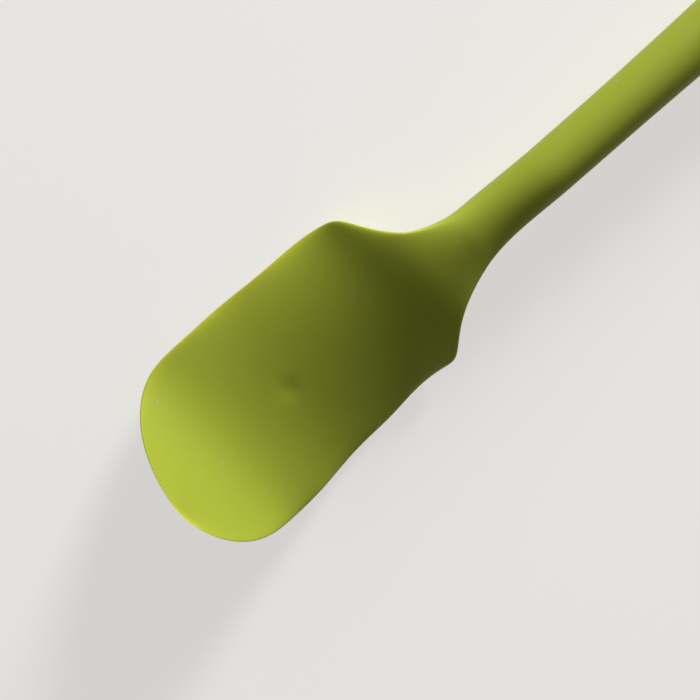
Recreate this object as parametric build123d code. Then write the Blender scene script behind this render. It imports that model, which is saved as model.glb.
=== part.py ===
from build123d import *
import math
import os

os.makedirs("parts", exist_ok=True)

# Overall reach, measured from the shoulder line of the blade
blade_reach = 83.1
handle_reach = 196.5

# Blade outline, half widths
shoulder_half_width = 29.0
tip_half_width = 33.3
tip_rounding_start = 49.3
shoulder_blend = 2.6
lip_thickness = 1.8

# Neck
neck_length = 72.4
neck_half_width = 7.7
neck_flare = 25.5
neck_half_thickness = 8.1

# Grip
grip_half_width = 9.6
grip_half_thickness = 9.4
grip_drop = 1.9
butt_rounding = 9.0

# Scoop
scoop_rise = 17.0

# Hanging hole near the butt
hang_hole_radius = 3.5
hang_hole_setback = 15.5
hang_hole_lining = 1.9
hang_mouth_flare = 1.6

# Inner nylon core
core_cover = 2.4
core_end = 14.0
core_end_rounding = 7.0
core_nose_cover = 3.4

# Inner steel strip
strip_thickness = 1.5
strip_half_width = 3.6
strip_start = 84.0
paddle_half_width = 9.0
paddle_start = 4.0
paddle_end = 36.0
locking_hole_radius = 2.1

# Pure numbers of the outline formulas
flare_power = 6.7
tip_power = 4.02
tip_closing_power = 1.636
lip_start_share = 0.66
flattening_start_share = 0.529
flattening_share = 0.594
section_shares = 52
rim_crowding = 0.45
tip_edge_share = 0.35
nose_overlap = 1.03
locking_hole_shares = (0.42, 0.78)
tang_hole_shares = (0.30, 0.60, 0.90)

# Rim line, front crown and back bulge along the blade, as shares of the blade's reach
rim_place_shares = (-0.684, -0.399, -0.137, 0.091, 0.291, 0.482, 0.664, 0.818, 0.946, 1.0)
rim_height_shares = (0.0, -0.033, 0.040, -0.598, -0.545, -0.520, -0.322, -0.085, 0.631, 1.0)
crown_place_shares = (-0.684, -0.399, -0.137, 0.091, 0.291, 0.427, 0.546, 0.664, 0.818, 1.0)
crown_height_shares = (1.0, 0.73, 0.34, 1.28, 0.88, 0.660, 0.412, 0.270, 0.310, -0.190)
bulge_height_shares = (1.0, 1.10, 1.04, 0.0, 0.01, 0.05, 0.12, 0.14, 0.03, 0.27)


def smooth_step(share):
    share = min(max(share, 0.0), 1.0)
    return share * share * (3.0 - 2.0 * share)


def smooth_curve(places, values):
    """Cubic curve through the given values, level at its first place and free at its last."""
    count = len(places)
    steps = [places[i + 1] - places[i] for i in range(count - 1)]
    slopes = [(values[i + 1] - values[i]) / steps[i] for i in range(count - 1)]
    diagonal = [2.0 * steps[0]]
    right = [6.0 * slopes[0]]
    for i in range(1, count - 1):
        lower = steps[i - 1]
        factor = lower / diagonal[i - 1]
        diagonal.append(2.0 * (steps[i - 1] + steps[i]) - factor * steps[i - 1])
        right.append(6.0 * (slopes[i] - slopes[i - 1]) - factor * right[i - 1])
    bends = [0.0] * count
    for i in range(count - 2, -1, -1):
        bends[i] = (right[i] - steps[i] * bends[i + 1]) / diagonal[i]

    def at(place):
        place = min(max(place, places[0]), places[-1])
        i = 0
        while i < count - 2 and place > places[i + 1]:
            i += 1
        near = place - places[i]
        far = places[i + 1] - place
        bent = (bends[i] * far ** 3 + bends[i + 1] * near ** 3) / (6.0 * steps[i])
        left = (values[i] / steps[i] - bends[i] * steps[i] / 6.0) * far
        rest = (values[i + 1] / steps[i] - bends[i + 1] * steps[i] / 6.0) * near
        return bent + left + rest

    return at


rim_share_at = smooth_curve(rim_place_shares, rim_height_shares)
crown_share_at = smooth_curve(crown_place_shares, crown_height_shares)
bulge_share_at = smooth_curve(crown_place_shares, bulge_height_shares)


def along_grip(x):
    """Zero at the neck, one at the butt."""
    return smooth_step((-x - neck_length) / (handle_reach - neck_length - butt_rounding))


def half_width_at(x):
    """Half width of the plan outline before the tip and the butt close."""
    handle = neck_half_width + (grip_half_width - neck_half_width) * along_grip(x)
    reach = max(0.0, (x + neck_length) / neck_length)
    flare = min(handle + neck_flare * reach ** flare_power, 2.0 * tip_half_width)
    side = shoulder_half_width + (tip_half_width - shoulder_half_width) * max(x, -neck_length) / blade_reach
    small = -min(flare, side)
    soft = math.exp((-flare - small) / shoulder_blend) + math.exp((-side - small) / shoulder_blend)
    return -(small + shoulder_blend * math.log(soft))


def tip_closing(x):
    """Share of the half width that is left where the tip rounds off."""
    share = min(max((x - tip_rounding_start) / (blade_reach - tip_rounding_start), 0.0), 1.0)
    return max(1.0 - share ** tip_power, 0.0) ** (1.0 / tip_closing_power)


def lip_closing(x):
    """Share of the lip thickness that is left at the very tip."""
    share = min(max((x - blade_reach + lip_thickness / 2.0) / (lip_thickness / 2.0), 0.0), 1.0)
    return math.sqrt(max(1.0 - share * share, 0.0))


def levels_at(x):
    """Rim height, front crown, back bulge and lip thickness of the section at x."""
    share = x / blade_reach
    rim = scoop_rise * rim_share_at(share) - grip_drop * along_grip(x)
    grip = (grip_half_thickness - neck_half_thickness) * along_grip(x)
    crown = neck_half_thickness * crown_share_at(share) + grip
    bulge = neck_half_thickness * bulge_share_at(share) + grip
    lip_start = lip_start_share * neck_length
    lip = lip_thickness * smooth_step((x + lip_start) / lip_start)
    return rim, crown, bulge, lip


def section_power(x):
    """One for the round handle, two for the flat blade."""
    return 1.0 + smooth_step((x + flattening_start_share * neck_length) / (flattening_share * neck_length))


def round_angles():
    """Angles round a section, crowded towards its two rims."""
    angles = []
    for i in range(section_shares):
        turn = 2.0 * math.pi * i / section_shares
        angles.append(turn - rim_crowding * math.sin(2.0 * turn) / 2.0)
    return angles


def outer_points(x):
    """Points round the outside at x."""
    rim, crown, bulge, lip = levels_at(x)
    width = half_width_at(x) * tip_closing(x)
    thin = tip_edge_share + (1.0 - tip_edge_share) * lip_closing(x)
    crown = crown * thin
    bulge = bulge * thin
    lip = lip * thin + lip_thickness / 900.0
    squareness = min(max(4.0 * width / lip, 2.0), 72.0)
    power = section_power(x)
    points = []
    for angle in round_angles():
        u = math.cos(angle)
        fall = (1.0 - u * u) ** (power / 2.0)
        edge = lip / 2.0 * math.sqrt(max(1.0 - abs(u) ** squareness, 0.0))
        if math.sin(angle) >= 0.0:
            height = rim + crown * fall + edge
        else:
            height = rim - bulge * fall - edge
        points.append((x, width * u, height))
    return points


def fine_places():
    """Evenly spread places, to find the lowest point."""
    places = stations()
    return [places[0] + (places[-1] - places[0]) * i / 400 for i in range(401)]


def closed_wire(points):
    """Closed wire of a front and a back curve that meet upright at the two rims."""
    half = len(points) // 2
    places = [i / half for i in range(half + 1)]
    ring = [Vector(*point) for point in points] + [Vector(*points[0])]
    rise = (ring[1].Z - ring[0].Z) * half
    drop = (ring[0].Z - ring[-2].Z) * half
    up = Vector(0, 0, rise)
    down = Vector(0, 0, -drop)
    front = Edge.make_spline(ring[: half + 1], tangents=[up, up * -1], parameters=places, scale=False)
    back = Edge.make_spline(ring[half:], tangents=[down, down * -1], parameters=places, scale=False)
    return Wire([front, back])


def stations():
    """Places of the sections, close together where the outline turns fast."""
    places = []
    for i in range(8):
        places.append(-handle_reach + (handle_reach - 1.1 * neck_length) * i / 7)
    for i in range(12):
        places.append(-neck_length + 0.80 * neck_length * i / 11)
    for i in range(1, 15):
        places.append(-0.20 * neck_length + (0.20 * neck_length + 0.05 * blade_reach) * i / 14)
    for i in range(1, 9):
        places.append(0.05 * blade_reach + (tip_rounding_start - 0.05 * blade_reach) * i / 8)
    for i in range(1, 17):
        turn = math.pi / 2.0 * 0.95 * i / 16
        places.append(tip_rounding_start + (blade_reach - tip_rounding_start) * math.sin(turn))
    return places


def middle_height(x):
    """Height halfway between the front and the back, on the centre line."""
    rim, crown, bulge, lip = levels_at(x)
    return rim + (crown - bulge) / 2.0


def end_waste(tip, inward, rounding, half, height):
    """Block round one end of a bar, less an egg-shaped nose: what rounding the end takes away."""
    block = Pos(tip + inward * rounding / 2.0, 0, height) * Box(rounding, 6.0 * half, 6.0 * half)
    with BuildSketch(Plane.XZ) as profile:
        Ellipse(rounding, half * nose_overlap)
        Rectangle(3.0 * rounding, 3.0 * half, align=(Align.CENTER, Align.MAX), mode=Mode.SUBTRACT)
    nose = revolve(profile.sketch, Axis.X)
    return block - Pos(tip + inward * rounding, 0, height) * nose


def core_section(x):
    rim, crown, bulge, lip = levels_at(x)
    handle = neck_half_width + (grip_half_width - neck_half_width) * along_grip(x)
    deep = smooth_step((x + neck_length) / (neck_length - core_end))
    cover = core_cover + (core_nose_cover - core_cover) * deep
    width = handle - core_cover
    thickness = (crown + bulge) / 2.0 - cover
    points = []
    for i in range(24):
        angle = 2.0 * math.pi * i / 24
        points.append((x, width * math.cos(angle), middle_height(x) + thickness * math.sin(angle)))
    return closed_wire(points)


def core_blank():
    """Oval bar from the butt to the neck, with both ends rounded."""
    first = -handle_reach + core_cover
    last = -core_end
    bar = Solid.make_loft([core_section(first + (last - first) * i / 16) for i in range(17)])
    grip = grip_half_width - core_cover
    bar = bar - end_waste(first, 1.0, butt_rounding, grip, -grip_drop)
    return bar - end_waste(last, -1.0, core_end_rounding, neck_half_width - core_cover, middle_height(last))


def strip_blank():
    """Bent steel strip on the middle height, seen from the side, then trimmed in plan."""
    count = 26
    upper = []
    lower = []
    for i in range(count + 1):
        x = -strip_start + (strip_start + paddle_end) * i / count
        step = strip_thickness / 10.0
        slope = (middle_height(x + step) - middle_height(x - step)) / (2.0 * step)
        length = math.sqrt(1.0 + slope * slope)
        half = strip_thickness / 2.0
        upper.append((x - slope / length * half, middle_height(x) + half / length))
        lower.append((x + slope / length * half, middle_height(x) - half / length))
    with BuildSketch(Plane.XZ) as side:
        with BuildLine():
            top = Spline(*upper)
            bottom = Spline(*lower)
            Line(top @ 0, bottom @ 0)
            Line(top @ 1, bottom @ 1)
        make_face()
    slab = extrude(side.sketch, amount=paddle_half_width, both=True)
    neck = paddle_start + paddle_half_width
    with BuildSketch(Plane.XY) as plan:
        with Locations(((paddle_start - strip_start) / 2.0, 0)):
            RectangleRounded(strip_start + paddle_start, 2.0 * strip_half_width, strip_half_width * 0.9)
        with BuildLine():
            Polyline(
                (-paddle_start, strip_half_width),
                (neck, paddle_half_width),
                (paddle_end, paddle_half_width),
                (paddle_end, -paddle_half_width),
                (neck, -paddle_half_width),
                (-paddle_start, -strip_half_width),
                close=True,
            )
        make_face()
        far = plan.vertices().sort_by(Axis.X)[-2:]
        fillet(far, paddle_half_width * 0.45)
        hole_places = []
        for share in locking_hole_shares:
            place = paddle_start + (paddle_end - paddle_start) * share
            for side_share in (-0.5, 0.5):
                hole_places.append((place, paddle_half_width * side_share))
        for share in tang_hole_shares:
            hole_places.append((-strip_start * share, 0))
        with Locations(*hole_places):
            Circle(locking_hole_radius, mode=Mode.SUBTRACT)
    tall = scoop_rise + 2.0 * grip_half_thickness
    prism = extrude(plan.sketch, amount=tall, both=True)
    return slab & prism


def hang_opening(radius, flare):
    """Round post through the butt, opening towards both faces when a flare is given."""
    place = -handle_reach + hang_hole_setback
    half = grip_half_thickness
    height = -grip_drop
    reach = 2.0 * half
    post = Pos(place, 0, height) * Cylinder(radius, 2.0 * reach)
    if flare > 0:
        with BuildSketch(Plane.XZ) as profile:
            with BuildLine():
                Polyline(
                    (0, half - flare),
                    (radius, half - flare),
                    (radius + flare * 0.3, half - flare * 0.35),
                    (radius + flare * 1.7, half + flare * 0.35),
                    (radius + flare * 1.7, reach),
                    (0, reach),
                    close=True,
                )
            make_face()
        mouth = revolve(profile.sketch, Axis.Z)
        upper = Pos(place, 0, height) * mouth
        lower = Pos(place, 0, height) * Rot(180, 0, 0) * mouth
        post = post + upper + lower
    return post


outer = Solid.make_loft([closed_wire(outer_points(x)) for x in stations()])
outer = outer - end_waste(-handle_reach, 1.0, butt_rounding + core_cover, grip_half_width, -grip_drop)
core_bar = core_blank()
strip = strip_blank()

eye = hang_opening(hang_hole_radius + hang_hole_lining, 0.0)
core = core_bar - eye - strip
skin = outer - (core_bar - eye) - strip - hang_opening(hang_hole_radius, hang_mouth_flare)

places = stations()
middle = (places[0] + places[-1]) / 2.0
lowest = min(point[2] for x in fine_places() for point in outer_points(x))
lift = Pos(-middle, 0, -lowest)

nodes = {
    "silicone_overmould": skin,
    "handle_core": core,
    "steel_spine": strip,
}
for name, solid in nodes.items():
    export_step(lift * solid, os.path.join("parts", name + ".step"))
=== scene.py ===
import math

import bmesh
import bpy
from mathutils import Matrix, Vector


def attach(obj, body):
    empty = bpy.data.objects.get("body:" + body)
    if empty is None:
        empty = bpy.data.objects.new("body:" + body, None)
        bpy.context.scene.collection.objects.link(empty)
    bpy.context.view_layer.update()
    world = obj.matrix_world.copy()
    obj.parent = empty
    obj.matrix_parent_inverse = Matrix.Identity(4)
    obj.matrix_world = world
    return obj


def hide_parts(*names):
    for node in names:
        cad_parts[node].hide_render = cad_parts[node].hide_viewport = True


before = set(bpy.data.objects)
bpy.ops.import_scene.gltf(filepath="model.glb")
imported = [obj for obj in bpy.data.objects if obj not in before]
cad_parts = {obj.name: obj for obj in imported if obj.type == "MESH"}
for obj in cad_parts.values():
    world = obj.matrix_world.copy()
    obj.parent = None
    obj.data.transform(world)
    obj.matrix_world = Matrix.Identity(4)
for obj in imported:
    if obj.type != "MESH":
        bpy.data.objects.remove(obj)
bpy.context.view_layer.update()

MM = 0.001

# The model's own origin is on the shoulder line, at the handle's axis. These take it to the frame.
SHIFT_X = 56.75 * MM
SHIFT_Z = 11.63 * MM

# Sizes of the spatula, in millimetres, the same as the solid's but for a longer rounding at the butt
BLADE_REACH = 83.1
HANDLE_REACH = 196.5
SHOULDER_HALF_WIDTH = 29.0
TIP_HALF_WIDTH = 33.3
TIP_ROUNDING_START = 49.3
SHOULDER_BLEND = 2.6
LIP_THICKNESS = 1.8
NECK_LENGTH = 72.4
NECK_HALF_WIDTH = 7.7
NECK_FLARE = 25.5
NECK_HALF_THICKNESS = 8.1
GRIP_HALF_WIDTH = 9.6
GRIP_HALF_THICKNESS = 9.4
GRIP_DROP = 1.9
BUTT_ROUNDING = 11.4
SCOOP_RISE = 17.0
FLARE_POWER = 6.7
TIP_POWER = 4.02
TIP_CLOSING_POWER = 1.636
LIP_START_SHARE = 0.66
FLATTENING_START_SHARE = 0.529
FLATTENING_SHARE = 0.594
HANG_HOLE_RADIUS = 3.5
HANG_HOLE_SETBACK = 15.5
HANG_MOUTH_FLARE = 1.6

# Height profiles along the blade, as shares of its reach and of its rise or the neck's thickness
RIM_PLACES = (-0.684, -0.399, -0.137, 0.091, 0.291, 0.482, 0.664, 0.818, 0.946, 1.0)
RIM_HEIGHTS = (0.0, -0.033, 0.040, -0.598, -0.545, -0.520, -0.322, -0.085, 0.631, 1.0)
CROWN_PLACES = (-0.684, -0.399, -0.137, 0.091, 0.291, 0.427, 0.546, 0.664, 0.818, 1.0)
CROWN_HEIGHTS = (1.0, 0.73, 0.34, 1.28, 0.88, 0.660, 0.412, 0.270, 0.310, -0.190)
BULGE_HEIGHTS = (1.0, 1.10, 1.04, 0.0, 0.01, 0.05, 0.12, 0.14, 0.03, 0.27)

# Points round each section, and how much they crowd towards the rim
ROUND_COUNT = 112
RIM_CROWDING = 0.45

# Shape of the lip's edge, and shares a little under 1 that bring both faces to one line at the rim
EDGE_SQUARENESS = 4.0
LEAST_EDGE_POWER = 2.0
MOST_EDGE_POWER = 72.0
LEAST_LIP = 0.002
CLOSED_FACE = 0.99999
CLOSED_EDGE = 0.9999

# Painted highlight, a lighter line along the blade's rim where the lip's edge catches light: its sharpness,
# its reach at the tip and where it fades, in millimetres
RIM_HIGHLIGHT_POWER = 60.0
TIP_HIGHLIGHT_REACH = 1.4
RIM_HIGHLIGHT_FADE = 30.0

# Where the blade's faces are softened: middle and reach in millimetres, and how often they are blurred
SOFT_PLACE = 26.0
SOFT_REACH = 52.0
SOFTNESS = 160
SOFT_RIM_POWER = 6.0

# Small dent in the front of the blade
DENT_PLACE = 42.0
DENT_SIDE = -0.5
DENT_REACH = 3.2
DENT_DEPTH = 0.30

# Points nearer than these, in metres, become one
MERGE_DISTANCE = 0.000004
CUT_MERGE_DISTANCE = 0.000002
SLIVER_DISTANCE = 0.000001

# Hanging hole's cutter: sides, steps of its rounded mouths, and how far it stands past the surface
HOLE_SIDES = 64
MOUTH_STEPS = 12
MOUTH_INSET = 0.15
MOUTH_SPREAD = 1.6
CUTTER_LEAD = 0.1
CUTTER_REACH = 5.0

SHARP_ANGLE = math.radians(50.0)


# Curves along the blade

def smooth_step(share):
    share = min(max(share, 0.0), 1.0)
    return share * share * (3.0 - 2.0 * share)


def smooth_curve(places, values):
    """Cubic curve through the given values, level at its first place and free at its last."""
    count = len(places)
    steps = [places[i + 1] - places[i] for i in range(count - 1)]
    slopes = [(values[i + 1] - values[i]) / steps[i] for i in range(count - 1)]
    diagonal = [2.0 * steps[0]]
    right = [6.0 * slopes[0]]
    for i in range(1, count - 1):
        factor = steps[i - 1] / diagonal[i - 1]
        diagonal.append(2.0 * (steps[i - 1] + steps[i]) - factor * steps[i - 1])
        right.append(6.0 * (slopes[i] - slopes[i - 1]) - factor * right[i - 1])
    bends = [0.0] * count
    for i in range(count - 2, -1, -1):
        bends[i] = (right[i] - steps[i] * bends[i + 1]) / diagonal[i]

    def at(place):
        place = min(max(place, places[0]), places[-1])
        i = 0
        while i < count - 2 and place > places[i + 1]:
            i += 1
        near = place - places[i]
        far = places[i + 1] - place
        bent = (bends[i] * far ** 3 + bends[i + 1] * near ** 3) / (6.0 * steps[i])
        left = (values[i] / steps[i] - bends[i] * steps[i] / 6.0) * far
        rest = (values[i + 1] / steps[i] - bends[i + 1] * steps[i] / 6.0) * near
        return bent + left + rest

    return at


rim_share_at = smooth_curve(RIM_PLACES, RIM_HEIGHTS)
crown_share_at = smooth_curve(CROWN_PLACES, CROWN_HEIGHTS)
bulge_share_at = smooth_curve(CROWN_PLACES, BULGE_HEIGHTS)


def along_grip(x):
    return smooth_step((-x - NECK_LENGTH) / (HANDLE_REACH - NECK_LENGTH - 9.0))


def half_width_at(x):
    handle = NECK_HALF_WIDTH + (GRIP_HALF_WIDTH - NECK_HALF_WIDTH) * along_grip(x)
    reach = max(0.0, (x + NECK_LENGTH) / NECK_LENGTH)
    flare = min(handle + NECK_FLARE * reach ** FLARE_POWER, 2.0 * TIP_HALF_WIDTH)
    side = SHOULDER_HALF_WIDTH + (TIP_HALF_WIDTH - SHOULDER_HALF_WIDTH) * max(x, -NECK_LENGTH) / BLADE_REACH
    small = -min(flare, side)
    soft = math.exp((-flare - small) / SHOULDER_BLEND) + math.exp((-side - small) / SHOULDER_BLEND)
    return -(small + SHOULDER_BLEND * math.log(soft))


def tip_closing(x):
    share = min(max((x - TIP_ROUNDING_START) / (BLADE_REACH - TIP_ROUNDING_START), 0.0), 1.0)
    return max(1.0 - share ** TIP_POWER, 0.0) ** (1.0 / TIP_CLOSING_POWER)


def butt_closing(x):
    share = min(max((-x - HANDLE_REACH + BUTT_ROUNDING) / BUTT_ROUNDING, 0.0), 1.0)
    return math.sqrt(max(1.0 - share * share, 0.0))


def lip_closing(x):
    reach = 0.75 * LIP_THICKNESS
    share = min(max((x - BLADE_REACH + reach) / reach, 0.0), 1.0)
    return math.sqrt(max(1.0 - share * share, 0.0))


STATION_NUMBERS = ("place", "half_width", "rim", "crown", "bulge", "lip", "power")


def station(x):
    """Everything the section rule needs at x: half width, rim height, crown, bulge, lip, power."""
    share = x / BLADE_REACH
    rim = SCOOP_RISE * rim_share_at(share) - GRIP_DROP * along_grip(x)
    grip = (GRIP_HALF_THICKNESS - NECK_HALF_THICKNESS) * along_grip(x)
    closing = butt_closing(x)
    thin = lip_closing(x)
    crown = (NECK_HALF_THICKNESS * crown_share_at(share) + grip) * closing * thin
    bulge = (NECK_HALF_THICKNESS * bulge_share_at(share) + grip) * closing * thin
    lip_start = LIP_START_SHARE * NECK_LENGTH
    lip = LIP_THICKNESS * smooth_step((x + lip_start) / lip_start) * thin
    width = half_width_at(x) * tip_closing(x) * closing
    power = 1.0 + smooth_step((x + FLATTENING_START_SHARE * NECK_LENGTH) / (FLATTENING_SHARE * NECK_LENGTH))
    return dict(zip(STATION_NUMBERS, (x, width, rim, crown, bulge, lip, power)))


def station_places():
    places = []
    for i in range(19):
        places.append(-HANDLE_REACH + BUTT_ROUNDING * (1.0 - math.cos(math.pi / 2.0 * i / 18)))
    spans = (
        (-HANDLE_REACH + BUTT_ROUNDING, -NECK_LENGTH, 34),
        (-NECK_LENGTH, -0.20 * NECK_LENGTH, 30),
        (-0.20 * NECK_LENGTH, 0.05 * BLADE_REACH, 34),
        (0.05 * BLADE_REACH, TIP_ROUNDING_START, 30),
    )
    for first, last, count in spans:
        for i in range(1, count + 1):
            places.append(first + (last - first) * i / count)
    tip = BLADE_REACH - TIP_ROUNDING_START
    for i in range(1, 57):
        places.append(TIP_ROUNDING_START + tip * math.sin(math.pi / 2.0 * i / 56))
    return places


# Small helpers

def new_object(name, mesh):
    thing = bpy.data.objects.new(name, mesh)
    bpy.context.scene.collection.objects.link(thing)
    return thing


def math_node(tree, operation, *values):
    """Math node with its inputs linked or set, and its result returned."""
    node = tree.nodes.new("ShaderNodeMath")
    node.operation = operation
    for socket, value in zip(node.inputs, values):
        if isinstance(value, (int, float)):
            socket.default_value = value
        else:
            tree.links.new(value, socket)
    return node.outputs[0]


def set_input(modifier, tree, name, value):
    for item in tree.interface.items_tree:
        if item.item_type == "SOCKET" and item.in_out == "INPUT" and item.name == name:
            modifier[item.identifier] = value


# Geometry Nodes: the section rule swept over the stations

def section_rule_sockets(tree):
    """Named inputs for the rule's sizes, and the body as its result."""
    face = tree.interface
    face.new_socket("Stations", in_out="INPUT", socket_type="NodeSocketGeometry")
    sizes = (
        ("Rim crowding", RIM_CROWDING), ("Unit", MM), ("Shift X", SHIFT_X), ("Shift Z", SHIFT_Z),
        ("Soft place", SOFT_PLACE), ("Soft reach", SOFT_REACH), ("Dent place", DENT_PLACE),
        ("Dent side", DENT_SIDE), ("Dent reach", DENT_REACH), ("Dent depth", DENT_DEPTH),
    )
    for name, value in sizes:
        face.new_socket(name, in_out="INPUT", socket_type="NodeSocketFloat").default_value = value
    for name, value in (("Turns", ROUND_COUNT), ("Softness", SOFTNESS)):
        face.new_socket(name, in_out="INPUT", socket_type="NodeSocketInt").default_value = value
    face.new_socket("Finish", in_out="INPUT", socket_type="NodeSocketMaterial")
    face.new_socket("Body", in_out="OUTPUT", socket_type="NodeSocketGeometry")


def section_rule_tree():
    """Turns a grid, stations along X and turns along Y, into the closed spatula body."""
    tree = bpy.data.node_groups.new("spatula section rule", "GeometryNodeTree")
    section_rule_sockets(tree)
    nodes = tree.nodes
    link = tree.links.new
    given = nodes.new("NodeGroupInput").outputs
    result = nodes.new("NodeGroupOutput")

    def calc(operation, *values):
        return math_node(tree, operation, *values)

    def named(name):
        node = nodes.new("GeometryNodeInputNamedAttribute")
        node.data_type = "FLOAT"
        node.inputs["Name"].default_value = name
        return node.outputs[0]

    def store(geometry, name, value):
        node = nodes.new("GeometryNodeStoreNamedAttribute")
        node.data_type = "FLOAT"
        node.domain = "POINT"
        node.inputs["Name"].default_value = name
        link(geometry, node.inputs["Geometry"])
        link(value, node.inputs["Value"])
        return node.outputs[0]

    # The flat grid, with a column of points for each station
    size = nodes.new("GeometryNodeAttributeDomainSize")
    size.component = "MESH"
    link(given["Stations"], size.inputs[0])
    grid = nodes.new("GeometryNodeMeshGrid")
    grid.inputs["Size X"].default_value = 1.0
    grid.inputs["Size Y"].default_value = 1.0
    link(size.outputs["Point Count"], grid.inputs["Vertices X"])
    link(calc("ADD", given["Turns"], 1.0), grid.inputs["Vertices Y"])
    where = nodes.new("GeometryNodeInputPosition")
    split = nodes.new("ShaderNodeSeparateXYZ")
    link(where.outputs[0], split.inputs[0])
    last = calc("SUBTRACT", size.outputs["Point Count"], 1.0)
    index = calc("ROUND", calc("MULTIPLY", calc("ADD", split.outputs["X"], 0.5), last))
    turn = calc("MULTIPLY", calc("ADD", split.outputs["Y"], 0.5), 2.0 * math.pi)

    def at_station(name):
        sample = nodes.new("GeometryNodeSampleIndex")
        sample.data_type = "FLOAT"
        sample.domain = "POINT"
        link(given["Stations"], sample.inputs["Geometry"])
        link(named(name), sample.inputs["Value"])
        link(index, sample.inputs["Index"])
        return sample.outputs["Value"]

    place, half_width, rim, crown, bulge, lip, power = [at_station(name) for name in STATION_NUMBERS]

    # Place across the section, from 1 at one rim to -1 at the other, crowded towards both
    double = calc("SINE", calc("MULTIPLY", turn, 2.0))
    crowd = calc("MULTIPLY", given["Rim crowding"], 0.5)
    angle = calc("SUBTRACT", turn, calc("MULTIPLY", crowd, double))
    across = calc("COSINE", angle)
    to_rim = calc("ABSOLUTE", across)
    is_front = calc("GREATER_THAN", calc("SINE", angle), 0.0)

    # Height of both faces over the rim's height
    open_share = calc("MAXIMUM", calc("SUBTRACT", CLOSED_FACE, calc("MULTIPLY", across, across)), 0.0)
    fall = calc("POWER", open_share, calc("MULTIPLY", power, 0.5))
    square = calc("MULTIPLY", EDGE_SQUARENESS, calc("DIVIDE", half_width, calc("MAXIMUM", lip, LEAST_LIP)))
    square = calc("MINIMUM", calc("MAXIMUM", square, LEAST_EDGE_POWER), MOST_EDGE_POWER)
    edge_share = calc("SUBTRACT", CLOSED_EDGE, calc("POWER", to_rim, square))
    edge = calc("MULTIPLY", calc("SQRT", calc("MAXIMUM", edge_share, 0.0)), calc("MULTIPLY", lip, 0.5))
    front = calc("ADD", calc("MULTIPLY", crown, fall), edge)
    back = calc("MULTIPLY", calc("ADD", calc("MULTIPLY", bulge, fall), edge), -1.0)
    front = calc("MULTIPLY", front, is_front)
    back = calc("MULTIPLY", back, calc("SUBTRACT", 1.0, is_front))
    height = calc("ADD", rim, calc("ADD", front, back))

    # Fall of the small dent in the front
    along = calc("DIVIDE", calc("SUBTRACT", place, given["Dent place"]), given["Dent reach"])
    aside = calc("SUBTRACT", calc("MULTIPLY", half_width, across), given["Dent side"])
    aside = calc("DIVIDE", aside, given["Dent reach"])
    away = calc("ADD", calc("MULTIPLY", along, along), calc("MULTIPLY", aside, aside))
    dent = calc("DIVIDE", given["Dent depth"], calc("ADD", 1.0, calc("MULTIPLY", away, away)))
    dent_fall = calc("MULTIPLY", calc("MULTIPLY", dent, is_front), calc("MULTIPLY", given["Unit"], -1.0))

    # Painted highlight: lighter line along the rim where the lip's edge catches light, on the blade only
    tip_highlight = calc("DIVIDE", calc("SUBTRACT", place, BLADE_REACH - TIP_HIGHLIGHT_REACH), TIP_HIGHLIGHT_REACH)
    tip_highlight = calc("POWER", calc("MAXIMUM", tip_highlight, 0.0), 2.0)
    near = calc("MAXIMUM", calc("POWER", to_rim, RIM_HIGHLIGHT_POWER), tip_highlight)
    blade = calc("MULTIPLY", calc("ADD", place, RIM_HIGHLIGHT_FADE), 1.0 / RIM_HIGHLIGHT_FADE)
    near = calc("MULTIPLY", near, calc("MINIMUM", calc("MAXIMUM", blade, 0.0), 1.0))

    # How far the blade's faces are softened, not at all at the rim
    off_middle = calc("DIVIDE", calc("SUBTRACT", place, given["Soft place"]), given["Soft reach"])
    weight = calc("MAXIMUM", calc("SUBTRACT", 1.0, calc("ABSOLUTE", off_middle)), 0.0)
    weight = calc("MULTIPLY", weight, calc("SUBTRACT", 1.0, calc("POWER", to_rim, SOFT_RIM_POWER)))

    # All three are stored while the grid is flat, because they are worked out from places on it.
    marked = store(grid.outputs["Mesh"], "painted_rim_highlight", near)
    marked = store(marked, "soft_weight", weight)
    marked = store(marked, "dent_fall", dent_fall)

    spot = nodes.new("ShaderNodeCombineXYZ")
    link(calc("ADD", calc("MULTIPLY", place, given["Unit"]), given["Shift X"]), spot.inputs[0])
    link(calc("MULTIPLY", calc("MULTIPLY", half_width, across), given["Unit"]), spot.inputs[1])
    link(calc("ADD", calc("MULTIPLY", height, given["Unit"]), given["Shift Z"]), spot.inputs[2])
    moved = nodes.new("GeometryNodeSetPosition")
    link(marked, moved.inputs["Geometry"])
    link(spot.outputs[0], moved.inputs["Position"])

    blur = nodes.new("GeometryNodeBlurAttribute")
    blur.data_type = "FLOAT_VECTOR"
    link(nodes.new("GeometryNodeInputPosition").outputs[0], blur.inputs["Value"])
    link(given["Softness"], blur.inputs["Iterations"])
    link(named("soft_weight"), blur.inputs["Weight"])
    dented = nodes.new("ShaderNodeCombineXYZ")
    link(named("dent_fall"), dented.inputs[2])
    softened = nodes.new("GeometryNodeSetPosition")
    link(moved.outputs[0], softened.inputs["Geometry"])
    link(blur.outputs["Value"], softened.inputs["Position"])
    link(dented.outputs[0], softened.inputs["Offset"])

    merged = nodes.new("GeometryNodeMergeByDistance")
    merged.inputs["Distance"].default_value = MERGE_DISTANCE
    link(softened.outputs[0], merged.inputs["Geometry"])
    realized = nodes.new("GeometryNodeRealizeInstances")
    link(merged.outputs[0], realized.inputs[0])
    smooth = nodes.new("GeometryNodeSetShadeSmooth")
    link(realized.outputs[0], smooth.inputs["Geometry"])
    painted = nodes.new("GeometryNodeSetMaterial")
    link(smooth.outputs[0], painted.inputs["Geometry"])
    link(given["Finish"], painted.inputs["Material"])
    link(painted.outputs[0], result.inputs[0])
    return tree


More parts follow.
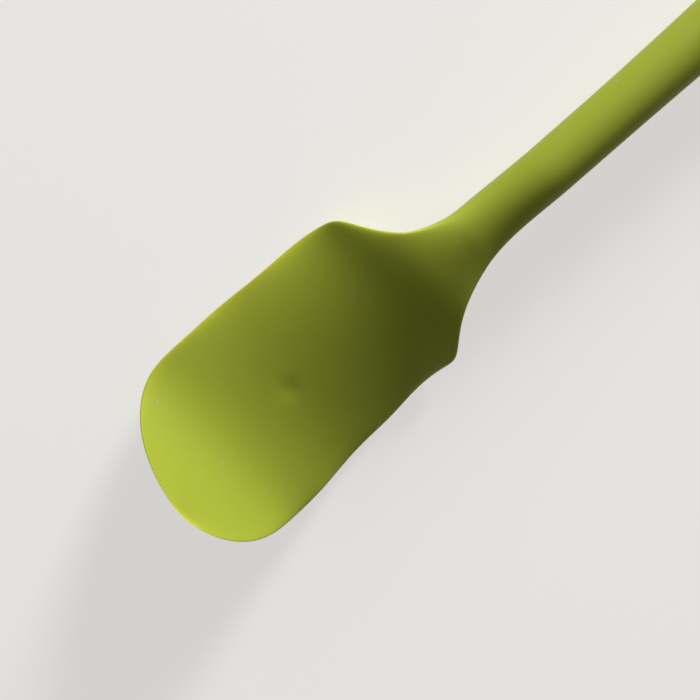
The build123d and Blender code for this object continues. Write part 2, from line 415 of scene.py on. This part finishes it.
def station_cloud():
    """One point for each station, carrying the numbers of its section."""
    stations = [station(x) for x in station_places()]
    mesh = bpy.data.meshes.new("stations")
    mesh.from_pydata([(s["place"] * MM, 0.0, 0.0) for s in stations], [], [])
    for name in STATION_NUMBERS:
        values = [s[name] for s in stations]
        mesh.attributes.new(name, "FLOAT", "POINT").data.foreach_set("value", values)
    return new_object("stations", mesh)


def plain_copy(thing, name):
    """A plain mesh of the evaluated object, under a new object at the origin."""
    bpy.context.view_layer.update()
    graph = bpy.context.evaluated_depsgraph_get()
    seen = thing.evaluated_get(graph)
    mesh = bpy.data.meshes.new_from_object(seen, preserve_all_data_layers=True, depsgraph=graph)
    source = thing.data
    bpy.data.objects.remove(thing, do_unlink=True)
    bpy.data.meshes.remove(source)
    mesh.name = name
    return new_object(name, mesh)


def hang_hole_cutter():
    """Post with trumpet mouths, turned about the hole's axis."""
    half = GRIP_HALF_THICKNESS
    profile = []
    for i in range(MOUTH_STEPS + 1):
        turn = math.pi / 2.0 * i / MOUTH_STEPS
        radius = HANG_HOLE_RADIUS + HANG_MOUTH_FLARE * (1.0 - math.cos(turn))
        profile.append((radius, half - HANG_MOUTH_FLARE + HANG_MOUTH_FLARE * math.sin(turn) - MOUTH_INSET))
    wide = HANG_HOLE_RADIUS + HANG_MOUTH_FLARE * MOUTH_SPREAD
    profile += [(wide, half + CUTTER_LEAD), (wide, half + CUTTER_REACH)]
    outline = [(r, -z) for r, z in reversed(profile)] + profile
    shape = bmesh.new()
    rings = []
    place = SHIFT_X + (-HANDLE_REACH + HANG_HOLE_SETBACK) * MM
    height = SHIFT_Z - GRIP_DROP * MM
    for radius, z in outline:
        ring = []
        for i in range(HOLE_SIDES):
            turn = 2.0 * math.pi * i / HOLE_SIDES
            along = place + radius * MM * math.cos(turn)
            ring.append(shape.verts.new((along, radius * MM * math.sin(turn), height + z * MM)))
        rings.append(ring)
    for low, high in zip(rings, rings[1:]):
        for i in range(HOLE_SIDES):
            j = (i + 1) % HOLE_SIDES
            shape.faces.new((low[i], low[j], high[j], high[i]))
    shape.faces.new(list(reversed(rings[0])))
    shape.faces.new(rings[-1])
    mesh = bpy.data.meshes.new("hang hole cutter")
    shape.to_mesh(mesh)
    shape.free()
    return new_object("hang hole cutter", mesh)


def spatula_body(finish):
    """The seamless skin: swept by the section rule, then cut by the hanging hole."""
    cloud = station_cloud()
    tree = section_rule_tree()
    modifier = cloud.modifiers.new("section rule", "NODES")
    modifier.node_group = tree
    set_input(modifier, tree, "Finish", finish)
    body = plain_copy(cloud, "spatula_body")

    shape = bmesh.new()
    shape.from_mesh(body.data)
    bmesh.ops.remove_doubles(shape, verts=shape.verts, dist=MERGE_DISTANCE)
    bmesh.ops.recalc_face_normals(shape, faces=shape.faces)
    shape.to_mesh(body.data)
    shape.free()

    cutter = hang_hole_cutter()
    cut = body.modifiers.new("hang hole", "BOOLEAN")
    cut.operation = "DIFFERENCE"
    cut.object = cutter
    cut.solver = "EXACT"
    body = plain_copy(body, "spatula_body")
    bpy.data.objects.remove(cutter, do_unlink=True)

    shape = bmesh.new()
    shape.from_mesh(body.data)
    bmesh.ops.remove_doubles(shape, verts=shape.verts, dist=CUT_MERGE_DISTANCE)
    bmesh.ops.dissolve_degenerate(shape, edges=shape.edges, dist=SLIVER_DISTANCE)
    for face in shape.faces:
        face.smooth = True
    for edge in shape.edges:
        edge.smooth = not (len(edge.link_faces) == 2 and edge.calc_face_angle() > SHARP_ANGLE)
    shape.to_mesh(body.data)
    shape.free()
    body.data.materials.clear()
    body.data.materials.append(finish)
    return body


# Shader node groups

def group_tree(name, inputs, outputs):
    tree = bpy.data.node_groups.new(name, "ShaderNodeTree")
    for socket, kind, value in inputs:
        made = tree.interface.new_socket(socket, in_out="INPUT", socket_type=kind)
        if value is not None:
            made.default_value = value
    for socket, kind in outputs:
        tree.interface.new_socket(socket, in_out="OUTPUT", socket_type=kind)
    return tree, tree.nodes.new("NodeGroupInput"), tree.nodes.new("NodeGroupOutput")


def mix_colour(tree, factor, first, second):
    node = tree.nodes.new("ShaderNodeMix")
    node.data_type = "RGBA"
    for socket, value in ((node.inputs[0], factor), (node.inputs[6], first), (node.inputs[7], second)):
        if isinstance(value, (int, float, tuple)):
            socket.default_value = value
        else:
            tree.links.new(value, socket)
    return node.outputs[2]


def noise(tree, place, scale, detail):
    node = tree.nodes.new("ShaderNodeTexNoise")
    node.inputs["Scale"].default_value = scale
    node.inputs["Detail"].default_value = detail
    tree.links.new(place, node.inputs["Vector"])
    return node.outputs["Fac"]


def cloudy_colour_group():
    """Slow and fine variation of a moulded colour."""
    tree, given, result = group_tree(
        "cloudy colour",
        (("Place", "NodeSocketVector", None), ("Colour", "NodeSocketColor", (0.5, 0.5, 0.5, 1.0)),
         ("Deep colour", "NodeSocketColor", (0.4, 0.4, 0.4, 1.0)), ("Amount", "NodeSocketFloat", 0.3)),
        (("Colour", "NodeSocketColor"), ("Cloud", "NodeSocketFloat")),
    )
    slow = noise(tree, given.outputs["Place"], 38.0, 3.0)
    fine = noise(tree, given.outputs["Place"], 420.0, 2.0)
    slow = math_node(tree, "MULTIPLY", slow, 0.7)
    both = math_node(tree, "ADD", slow, math_node(tree, "MULTIPLY", fine, 0.3))
    share = math_node(tree, "MULTIPLY", math_node(tree, "SUBTRACT", both, 0.35), 3.2)
    share = math_node(tree, "MINIMUM", math_node(tree, "MAXIMUM", share, 0.0), 1.0)
    factor = math_node(tree, "MULTIPLY", share, given.outputs["Amount"])
    colour = mix_colour(tree, factor, given.outputs["Colour"], given.outputs["Deep colour"])
    tree.links.new(colour, result.inputs["Colour"])
    tree.links.new(share, result.inputs["Cloud"])
    return tree


def fine_grain_group():
    """Height of a mould's fine grain, in millimetres."""
    tree, given, result = group_tree(
        "fine grain",
        (("Place", "NodeSocketVector", None), ("Fine height", "NodeSocketFloat", 0.01),
         ("Slow height", "NodeSocketFloat", 0.05)),
        (("Height", "NodeSocketFloat"), ("Grain", "NodeSocketFloat")),
    )
    fine = noise(tree, given.outputs["Place"], 2600.0, 2.0)
    slow = noise(tree, given.outputs["Place"], 130.0, 2.0)
    height = math_node(tree, "ADD", math_node(tree, "MULTIPLY", fine, given.outputs["Fine height"]),
                       math_node(tree, "MULTIPLY", slow, given.outputs["Slow height"]))
    tree.links.new(height, result.inputs["Height"])
    tree.links.new(fine, result.inputs["Grain"])
    return tree


def dust_group():
    """Mask of a few small dust specks."""
    tree, given, result = group_tree(
        "dust specks",
        (("Place", "NodeSocketVector", None), ("Density", "NodeSocketFloat", 260.0),
         ("Speck size", "NodeSocketFloat", 0.09)),
        (("Specks", "NodeSocketFloat"),),
    )
    cells = tree.nodes.new("ShaderNodeTexVoronoi")
    cells.feature = "F1"
    tree.links.new(given.outputs["Place"], cells.inputs["Vector"])
    tree.links.new(given.outputs["Density"], cells.inputs["Scale"])
    warp = noise(tree, given.outputs["Place"], 900.0, 2.0)
    ragged = math_node(tree, "MULTIPLY", math_node(tree, "SUBTRACT", warp, 0.5), 0.10)
    distance = math_node(tree, "ADD", cells.outputs["Distance"], ragged)
    close = math_node(tree, "LESS_THAN", distance, given.outputs["Speck size"])
    split = tree.nodes.new("ShaderNodeSeparateColor")
    tree.links.new(cells.outputs["Color"], split.inputs[0])
    chosen = math_node(tree, "GREATER_THAN", split.outputs[0], 0.86)
    tree.links.new(math_node(tree, "MULTIPLY", close, chosen), result.inputs["Specks"])
    return tree


CLOUDY = cloudy_colour_group()
GRAIN = fine_grain_group()
DUST = dust_group()


def place_group(tree, group, **values):
    node = tree.nodes.new("ShaderNodeGroup")
    node.node_tree = group
    for name, value in values.items():
        socket = node.inputs[name.replace("_", " ")]
        if isinstance(value, (int, float, tuple)):
            socket.default_value = value
        else:
            tree.links.new(value, socket)
    return node


def base_material(name):
    """New material, with its tree, its shader and the place that its patterns read."""
    material = bpy.data.materials.new(name)
    material.use_nodes = True
    tree = material.node_tree
    shader = tree.nodes["Principled BSDF"]
    place = tree.nodes.new("ShaderNodeTexCoord").outputs["Object"]
    return material, tree, shader, place


def bump(tree, shader, height):
    """Bump of a height given in millimetres."""
    node = tree.nodes.new("ShaderNodeBump")
    node.inputs["Strength"].default_value = 1.0
    node.inputs["Distance"].default_value = MM
    tree.links.new(height, node.inputs["Height"])
    tree.links.new(node.outputs["Normal"], shader.inputs["Normal"])


def green_silicone():
    material, tree, shader, place = base_material("green silicone")
    cloud = place_group(tree, CLOUDY, Place=place, Colour=(0.482, 0.562, 0.050, 1.0),
                        Deep_colour=(0.452, 0.530, 0.046, 1.0), Amount=0.6)
    grain = place_group(tree, GRAIN, Place=place, Fine_height=0.010, Slow_height=0.035)
    dust = place_group(tree, DUST, Place=place, Density=230.0, Speck_size=0.085)
    # Painted highlight: the lighter, yellower rim colour stands in for light caught by the lip's edge
    rim = tree.nodes.new("ShaderNodeAttribute")
    rim.attribute_name = "painted_rim_highlight"
    highlight_share = math_node(tree, "MULTIPLY", rim.outputs["Fac"], 0.8)
    colour = mix_colour(tree, highlight_share, cloud.outputs["Colour"], (0.640, 0.640, 0.035, 1.0))
    dust_share = math_node(tree, "MULTIPLY", dust.outputs["Specks"], 0.45)
    colour = mix_colour(tree, dust_share, colour, (0.62, 0.66, 0.42, 1.0))
    tree.links.new(colour, shader.inputs["Base Color"])
    roughness = math_node(tree, "ADD", 0.46, math_node(tree, "MULTIPLY", grain.outputs["Grain"], 0.10))
    roughness = math_node(tree, "ADD", roughness, math_node(tree, "MULTIPLY", dust.outputs["Specks"], 0.3))
    tree.links.new(roughness, shader.inputs["Roughness"])
    shader.inputs["IOR"].default_value = 1.42
    shader.inputs["Specular IOR Level"].default_value = 0.22
    shader.inputs["Sheen Weight"].default_value = 0.04
    shader.inputs["Sheen Roughness"].default_value = 0.45
    bump(tree, shader, grain.outputs["Height"])
    return material


def nylon_finish():
    material, tree, shader, place = base_material("glass filled nylon")
    cloud = place_group(tree, CLOUDY, Place=place, Colour=(0.72, 0.71, 0.67, 1.0),
                        Deep_colour=(0.60, 0.59, 0.54, 1.0), Amount=0.8)
    grain = place_group(tree, GRAIN, Place=place, Fine_height=0.03, Slow_height=0.08)
    tree.links.new(cloud.outputs["Colour"], shader.inputs["Base Color"])
    roughness = math_node(tree, "ADD", 0.45, math_node(tree, "MULTIPLY", grain.outputs["Grain"], 0.2))
    tree.links.new(roughness, shader.inputs["Roughness"])
    bump(tree, shader, grain.outputs["Height"])
    return material


def steel_finish():
    material, tree, shader, place = base_material("stamped stainless steel")
    stretch = tree.nodes.new("ShaderNodeMapping")
    stretch.inputs["Scale"].default_value = (0.06, 1.0, 1.0)
    tree.links.new(place, stretch.inputs["Vector"])
    brushed = noise(tree, stretch.outputs["Vector"], 3200.0, 3.0)
    cloud = place_group(tree, CLOUDY, Place=place, Colour=(0.62, 0.62, 0.61, 1.0),
                        Deep_colour=(0.50, 0.50, 0.50, 1.0), Amount=0.7)
    tree.links.new(cloud.outputs["Colour"], shader.inputs["Base Color"])
    shader.inputs["Metallic"].default_value = 1.0
    roughness = math_node(tree, "ADD", 0.28, math_node(tree, "MULTIPLY", brushed, 0.18))
    tree.links.new(roughness, shader.inputs["Roughness"])
    bump(tree, shader, math_node(tree, "MULTIPLY", brushed, 0.01))
    return material


def give_finish(node, material):
    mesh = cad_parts[node].data
    mesh.materials.clear()
    mesh.materials.append(material)


# The object

silicone = green_silicone()
body = spatula_body(silicone)
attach(body, "root")
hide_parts("silicone_overmould")
give_finish("silicone_overmould", silicone)
give_finish("handle_core", nylon_finish())
give_finish("steel_spine", steel_finish())


# Floor, world and lamp

FLOOR_HALF_SIZE = 2.5
FLOOR_GLOW = 0.60


def pale_floor():
    """Floor that keeps the shadow, and is pale where the camera or a reflection sees it."""
    far = FLOOR_HALF_SIZE
    mesh = bpy.data.meshes.new("floor")
    mesh.from_pydata([(-far, -far, 0), (far, -far, 0), (far, far, 0), (-far, far, 0)], [], [(0, 1, 2, 3)])
    floor = new_object("floor", mesh)
    material = bpy.data.materials.new("pale floor")
    material.use_nodes = True
    tree = material.node_tree
    shader = tree.nodes["Principled BSDF"]
    shader.inputs["Base Color"].default_value = (0.62, 0.60, 0.57, 1.0)
    shader.inputs["Roughness"].default_value = 0.9
    shader.inputs["Specular IOR Level"].default_value = 0.1
    shader.inputs["Emission Color"].default_value = (1.0, 0.99, 0.97, 1.0)
    ray = tree.nodes.new("ShaderNodeLightPath").outputs
    seen = math_node(tree, "ADD", ray["Is Camera Ray"], ray["Is Glossy Ray"])
    seen = math_node(tree, "MINIMUM", seen, 1.0)
    tree.links.new(math_node(tree, "MULTIPLY", seen, FLOOR_GLOW), shader.inputs["Emission Strength"])
    mesh.materials.append(material)


FAINT_LIGHT = (0.080, 0.075, 0.069, 1.0)
PALE_BACKDROP = (0.81, 0.80, 0.77, 1.0)


def soft_world():
    """Faint warm light all around, and a pale backdrop where the camera or a reflection sees it."""
    world = bpy.data.worlds.new("studio")
    bpy.context.scene.world = world
    world.use_nodes = True
    tree = world.node_tree
    back = tree.nodes["Background"]
    ray = tree.nodes.new("ShaderNodeLightPath").outputs
    seen = math_node(tree, "ADD", ray["Is Camera Ray"], ray["Is Glossy Ray"])
    seen = math_node(tree, "MINIMUM", math_node(tree, "ADD", seen, ray["Is Transmission Ray"]), 1.0)
    tree.links.new(mix_colour(tree, seen, FAINT_LIGHT, PALE_BACKDROP), back.inputs["Color"])
    back.inputs["Strength"].default_value = 1.0


LAMP_TARGET = Vector((0.075, 0.0, 0.01))


def soft_box(name, direction, distance, size, power):
    """Square lamp that looks at the blade from the given direction."""
    data = bpy.data.lights.new(name, "AREA")
    data.shape = "SQUARE"
    data.size = size
    data.energy = power
    lamp = bpy.data.objects.new(name, data)
    bpy.context.scene.collection.objects.link(lamp)
    toward = Vector(direction).normalized()
    lamp.location = LAMP_TARGET + toward * distance
    lamp.rotation_euler = (-toward).to_track_quat("-Z", "Y").to_euler()


pale_floor()
soft_world()
soft_box("key lamp", (-0.87, -0.45, 0.20), 2.4, 0.55, 62.0)


# Camera, at the photograph's viewing angle

CAMERA_RIGHT = Vector((-0.75157, 0.62556, 0.20935))
CAMERA_DOWN = Vector((0.65753, 0.68493, 0.31388))
CAMERA_PLACE = Vector((6.20 * MM, -97.53 * MM, 245.18 * MM))
FOCAL_PIXELS = 930.5
PICTURE_PIXELS = 700.0
SENSOR_WIDTH = 36.0


def photo_camera():
    right = CAMERA_RIGHT.normalized()
    down = (CAMERA_DOWN - right * CAMERA_DOWN.dot(right)).normalized()
    forward = right.cross(down)
    turn = Matrix((right, -down, -forward)).transposed()
    data = bpy.data.cameras.new("camera")
    data.sensor_width = SENSOR_WIDTH
    data.sensor_fit = "HORIZONTAL"
    data.lens = FOCAL_PIXELS / PICTURE_PIXELS * SENSOR_WIDTH
    data.clip_start = 0.01
    data.clip_end = 20.0
    camera = bpy.data.objects.new("camera", data)
    place = Vector((SHIFT_X, 0.0, SHIFT_Z)) + CAMERA_PLACE
    camera.matrix_world = Matrix.Translation(place) @ turn.to_4x4()
    bpy.context.scene.collection.objects.link(camera)
    bpy.context.scene.camera = camera


photo_camera()
bpy.context.scene.view_settings.view_transform = "Standard"

bpy.context.view_layer.update()
